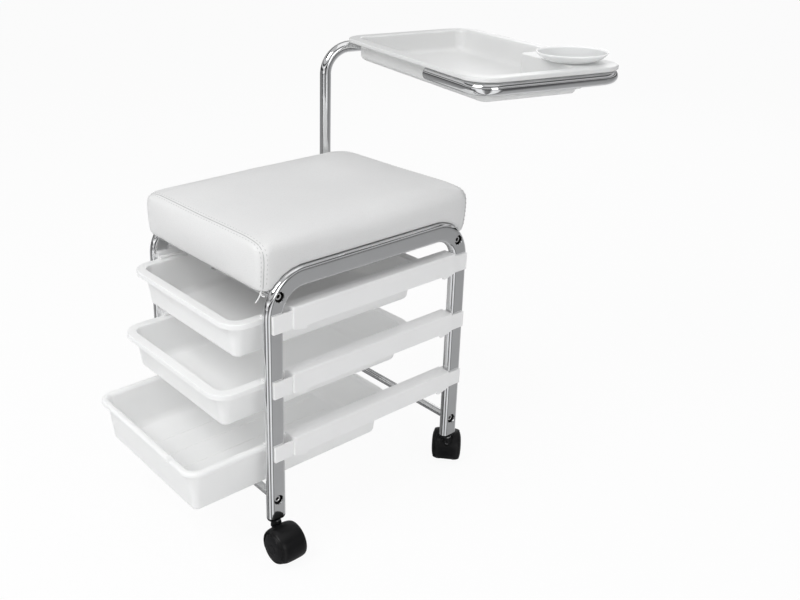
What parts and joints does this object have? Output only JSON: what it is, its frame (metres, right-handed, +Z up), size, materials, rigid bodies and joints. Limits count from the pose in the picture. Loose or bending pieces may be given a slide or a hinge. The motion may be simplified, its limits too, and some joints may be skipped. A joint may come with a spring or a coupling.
{
  "type": "pedicure stool",
  "caption": "Padded rolling salon stool with pull-out storage trays under the seat and a swing-out work tray with a bowl on a bent tube arm.",
  "frame": {"origin": "on the floor, under the middle of the whole stool's outline as seen from above, work tray and pull-outs included (the bottom centre of its bounding box)", "axes": "+Z up; -Y is the front, the way the pull-out trays open; +X is the side away from the arm's post, the near side of the three-quarter front view"},
  "size_m": [0.504, 0.7516, 0.687],
  "materials": {
    "chrome": "polished",
    "screw_steel": "satin",
    "white_plastic": "semi-gloss",
    "translucent_white": "gloss, slightly translucent",
    "black_plastic": "satin",
    "plywood": "stained dark, flat",
    "white_vinyl": "soft semi-gloss vinyl"
  },
  "bodies": {
    "frame": {"side_frame_left": "chrome", "side_frame_right": "chrome", "upper_cross_tube_front": "chrome", "upper_cross_tube_rear": "chrome", "lower_cross_bar_front": "chrome", "lower_cross_bar_rear": "chrome", "frame_screw_upper_front_left": "screw_steel", "frame_screw_upper_front_right": "screw_steel", "frame_screw_upper_rear_left": "screw_steel", "frame_screw_upper_rear_right": "screw_steel", "frame_screw_lower_front_left": "screw_steel", "frame_screw_lower_front_right": "screw_steel", "frame_screw_lower_rear_left": "screw_steel", "frame_screw_lower_rear_right": "screw_steel", "runner_left_top": "white_plastic", "runner_left_middle": "white_plastic", "runner_left_bottom": "white_plastic", "runner_right_top": "white_plastic", "runner_right_middle": "white_plastic", "runner_right_bottom": "white_plastic", "seat_board": "plywood", "seat_board_screw_front": "screw_steel", "seat_board_screw_rear": "screw_steel", "seat_cushion": "white_vinyl", "tray_arm_clip_upper": "black_plastic", "tray_arm_clip_lower": "black_plastic", "leg_end_plug_front_right": "black_plastic", "leg_end_plug_rear_right": "black_plastic", "leg_end_plug_front_left": "black_plastic", "leg_end_plug_rear_left": "black_plastic"},
    "pull_out_top": {"pull_out_tray_top": "white_plastic"},
    "pull_out_middle": {"pull_out_tray_middle": "white_plastic"},
    "pull_out_bottom": {"pull_out_tray_bottom": "white_plastic"},
    "tray_arm": {"tray_arm_tube": "chrome", "tray_arm_end_cap": "black_plastic", "tray_arm_foot_plug": "black_plastic", "tray_arm_stop_collar": "screw_steel"},
    "tool_tray_body": {"tool_tray": "white_plastic"},
    "tool_bowl_body": {"tool_bowl": "translucent_white"},
    "caster_front_right": {"caster_hood_front_right": "black_plastic", "caster_stem_front_right": "screw_steel", "caster_axle_front_right": "screw_steel"},
    "wheel_a_front_right": {"caster_wheel_a_front_right": "black_plastic"},
    "wheel_b_front_right": {"caster_wheel_b_front_right": "black_plastic"},
    "caster_rear_right": {"caster_hood_rear_right": "black_plastic", "caster_stem_rear_right": "screw_steel", "caster_axle_rear_right": "screw_steel"},
    "wheel_a_rear_right": {"caster_wheel_a_rear_right": "black_plastic"},
    "wheel_b_rear_right": {"caster_wheel_b_rear_right": "black_plastic"},
    "caster_front_left": {"caster_hood_front_left": "black_plastic", "caster_stem_front_left": "screw_steel", "caster_axle_front_left": "screw_steel"},
    "wheel_a_front_left": {"caster_wheel_a_front_left": "black_plastic"},
    "wheel_b_front_left": {"caster_wheel_b_front_left": "black_plastic"},
    "caster_rear_left": {"caster_hood_rear_left": "black_plastic", "caster_stem_rear_left": "screw_steel", "caster_axle_rear_left": "screw_steel"},
    "wheel_a_rear_left": {"caster_wheel_a_rear_left": "black_plastic"},
    "wheel_b_rear_left": {"caster_wheel_b_rear_left": "black_plastic"}
  },
  "joints": [
    {"name": "pull_out_top_slide", "type": "slide", "parent": "frame", "child": "pull_out_top", "axis": [0, -1, 0], "range_m": [-0.039, 0.165]},
    {"name": "pull_out_middle_slide", "type": "slide", "parent": "frame", "child": "pull_out_middle", "axis": [0, -1, 0], "range_m": [-0.063, 0.145]},
    {"name": "pull_out_bottom_slide", "type": "slide", "parent": "frame", "child": "pull_out_bottom", "axis": [0, -1, 0], "range_m": [-0.113, 0.095]},
    {"name": "tray_arm_swing", "type": "hinge", "parent": "frame", "child": "tray_arm", "pos_m": [-0.22091, 0.11318, 0.4], "axis": [0, 0, 1], "continuous": true},
    {"name": "tool_tray_lift", "type": "slide", "parent": "tray_arm", "child": "tool_tray_body", "axis": [0, 0, 1], "range_m": [0, 0.06]},
    {"name": "tool_bowl_lift", "type": "slide", "parent": "tool_tray_body", "child": "tool_bowl_body", "axis": [0, 0, 1], "range_m": [0, 0.06]},
    {"name": "caster_front_right_swivel", "type": "hinge", "parent": "frame", "child": "caster_front_right", "pos_m": [0.10089, -0.24182, 0.06], "axis": [0, 0, 1], "continuous": true},
    {"name": "caster_wheel_a_front_right_spin", "type": "hinge", "parent": "caster_front_right", "child": "wheel_a_front_right", "pos_m": [0.12189, -0.24182, 0.025], "axis": [0, 1, 0], "continuous": true},
    {"name": "caster_wheel_b_front_right_spin", "type": "hinge", "parent": "caster_front_right", "child": "wheel_b_front_right", "pos_m": [0.12189, -0.24182, 0.025], "axis": [0, 1, 0], "continuous": true},
    {"name": "caster_rear_right_swivel", "type": "hinge", "parent": "frame", "child": "caster_rear_right", "pos_m": [0.10089, 0.11218, 0.06], "axis": [0, 0, 1], "continuous": true},
    {"name": "caster_wheel_a_rear_right_spin", "type": "hinge", "parent": "caster_rear_right", "child": "wheel_a_rear_right", "pos_m": [0.08684, 0.12779, 0.025], "axis": [-0.7431, -0.6691, 0], "continuous": true},
    {"name": "caster_wheel_b_rear_right_spin", "type": "hinge", "parent": "caster_rear_right", "child": "wheel_b_rear_right", "pos_m": [0.08684, 0.12779, 0.025], "axis": [-0.7431, -0.6691, 0], "continuous": true},
    {"name": "caster_front_left_swivel", "type": "hinge", "parent": "frame", "child": "caster_front_left", "pos_m": [-0.20071, -0.24182, 0.06], "axis": [0, 0, 1], "continuous": true},
    {"name": "caster_wheel_a_front_left_spin", "type": "hinge", "parent": "caster_front_left", "child": "wheel_a_front_left", "pos_m": [-0.18098, -0.23464, 0.025], "axis": [-0.342, 0.9397, 0], "continuous": true},
    {"name": "caster_wheel_b_front_left_spin", "type": "hinge", "parent": "caster_front_left", "child": "wheel_b_front_left", "pos_m": [-0.18098, -0.23464, 0.025], "axis": [-0.342, 0.9397, 0], "continuous": true},
    {"name": "caster_rear_left_swivel", "type": "hinge", "parent": "frame", "child": "caster_rear_left", "pos_m": [-0.20071, 0.11218, 0.06], "axis": [0, 0, 1], "continuous": true},
    {"name": "caster_wheel_a_rear_left_spin", "type": "hinge", "parent": "caster_rear_left", "child": "wheel_a_rear_left", "pos_m": [-0.2189, 0.12268, 0.025], "axis": [-0.5, -0.866, 0], "continuous": true},
    {"name": "caster_wheel_b_rear_left_spin", "type": "hinge", "parent": "caster_rear_left", "child": "wheel_b_rear_left", "pos_m": [-0.2189, 0.12268, 0.025], "axis": [-0.5, -0.866, 0], "continuous": true}
  ]
}
